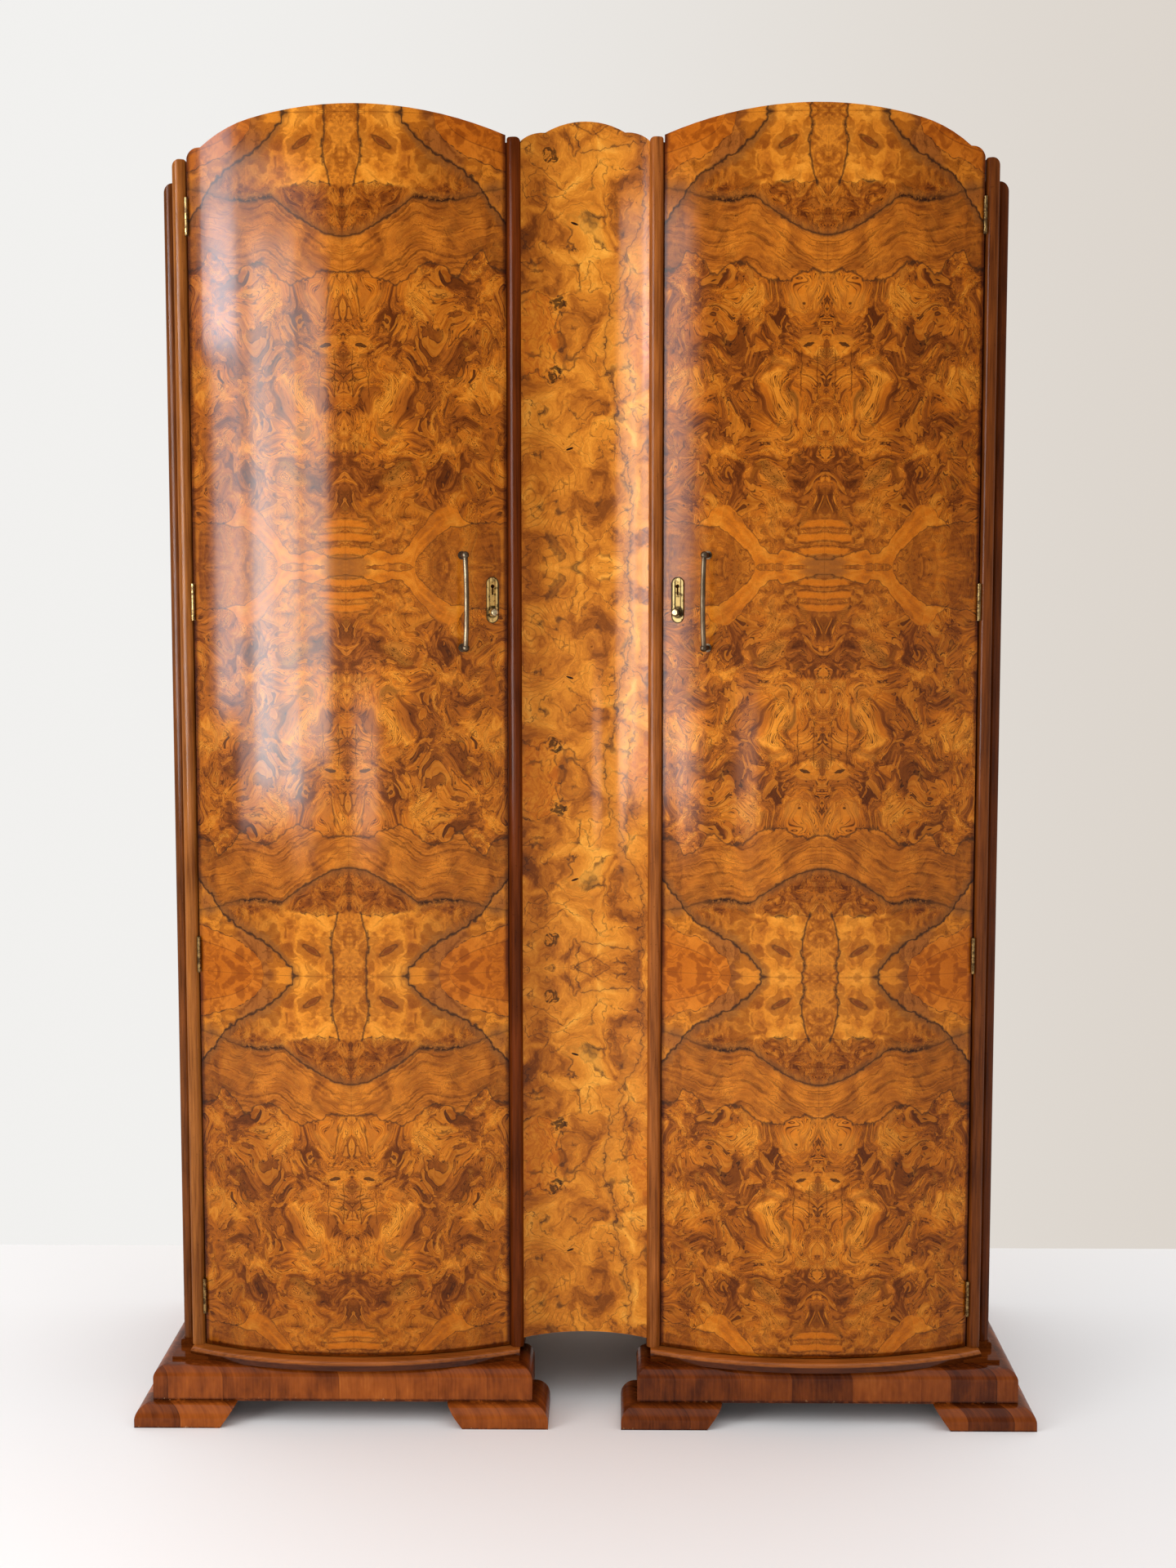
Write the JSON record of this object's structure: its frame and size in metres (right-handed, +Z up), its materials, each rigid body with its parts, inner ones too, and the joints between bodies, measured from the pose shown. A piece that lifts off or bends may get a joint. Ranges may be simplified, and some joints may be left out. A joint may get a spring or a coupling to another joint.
{
  "type": "wardrobe",
  "caption": "Free-standing wardrobe: bowed doors with arched tops beside a fixed hollow centre panel, on moulded plinths with bracket feet, with hanging rail and hat shelf inside.",
  "frame": {"origin": "middle of the footprint on the floor", "axes": "+X to the right seen from the front, +Y to the back, +Z up"},
  "size_m": [1.272, 0.54, 1.83],
  "materials": {
    "burr_walnut": "french polished burr",
    "walnut": "polished",
    "softwood": "plain",
    "brass": "worn satin",
    "aged_brass": "darkened",
    "steel": "plain"
  },
  "bodies": {
    "carcass": {"left_side_panel": "walnut", "right_side_panel": "walnut", "left_post": "walnut", "right_post": "walnut", "left_stile": "walnut", "right_stile": "walnut", "left_bead": "walnut", "right_bead": "walnut", "centre_panel": "burr_walnut", "centre_rails": "softwood", "left_head_rail": "softwood", "right_head_rail": "softwood", "top_board": "walnut", "bottom_board": "softwood", "back_panel": "softwood", "left_base_board": "walnut", "right_base_board": "walnut", "left_bow_moulding": "walnut", "right_bow_moulding": "walnut", "left_side_moulding": "walnut", "right_side_moulding": "walnut", "left_step_board": "walnut", "right_step_board": "walnut", "left_plinth_rails": "walnut", "right_plinth_rails": "walnut", "left_feet": "walnut", "right_feet": "walnut", "plinth_blocks": "softwood", "hat_shelf": "softwood", "shelf_bearers": "softwood", "hanging_rail": "brass", "rail_sockets": "aged_brass", "rail_strap": "aged_brass", "frame_hinge_leaves": "brass", "hinge_pins": "brass", "strike_plates": "brass", "frame_screws": "brass"},
    "left_door": {"left_door": "burr_walnut", "left_handle": "aged_brass", "left_key_plate": "brass", "left_lock_case": "steel", "left_lock_cover": "steel", "left_door_hinge_leaves": "brass", "left_door_screws": "brass"},
    "left_knob": {"left_turn_knob": "brass", "left_follower": "steel"},
    "left_latch": {"left_latch_bolt": "brass"},
    "left_deadlock": {"left_dead_bolt": "brass"},
    "right_door": {"right_door": "burr_walnut", "right_handle": "aged_brass", "right_key_plate": "brass", "right_lock_case": "steel", "right_lock_cover": "steel", "right_door_hinge_leaves": "brass", "right_door_screws": "brass"},
    "right_knob": {"right_turn_knob": "brass", "right_follower": "steel"},
    "right_latch": {"right_latch_bolt": "brass"},
    "right_deadlock": {"right_dead_bolt": "brass"}
  },
  "joints": [
    {"name": "left_door_hinge", "type": "hinge", "parent": "carcass", "child": "left_door", "pos_m": [-0.548, -0.1917, 0.9], "axis": [0, 0, -1], "range_deg": [0, 110]},
    {"name": "left_knob_turn", "type": "hinge", "parent": "left_door", "child": "left_knob", "pos_m": [-0.129, -0.1981, 1.147], "axis": [-0.3944, 0.919, 0], "range_deg": [0, 90]},
    {"name": "left_latch_slide", "type": "slide", "parent": "left_door", "child": "left_latch", "axis": [0.919, 0.3944, 0], "range_m": [0, 0.008]},
    {"name": "left_deadlock_slide", "type": "slide", "parent": "left_door", "child": "left_deadlock", "axis": [0.919, 0.3944, 0], "range_m": [0, 0.008]},
    {"name": "right_door_hinge", "type": "hinge", "parent": "carcass", "child": "right_door", "pos_m": [0.548, -0.1917, 0.9], "axis": [0, 0, 1], "range_deg": [0, 110]},
    {"name": "right_knob_turn", "type": "hinge", "parent": "right_door", "child": "right_knob", "pos_m": [0.129, -0.1981, 1.147], "axis": [-0.3944, -0.919, 0], "range_deg": [0, 90]},
    {"name": "right_latch_slide", "type": "slide", "parent": "right_door", "child": "right_latch", "axis": [-0.919, 0.3944, 0], "range_m": [0, 0.008]},
    {"name": "right_deadlock_slide", "type": "slide", "parent": "right_door", "child": "right_deadlock", "axis": [-0.919, 0.3944, 0], "range_m": [0, 0.008]}
  ],
  "couplings": [
    {"joint": "left_latch_slide", "follows": "left_knob_turn", "m_per_rad": 0.00509},
    {"joint": "right_latch_slide", "follows": "right_knob_turn", "m_per_rad": 0.00509}
  ]
}
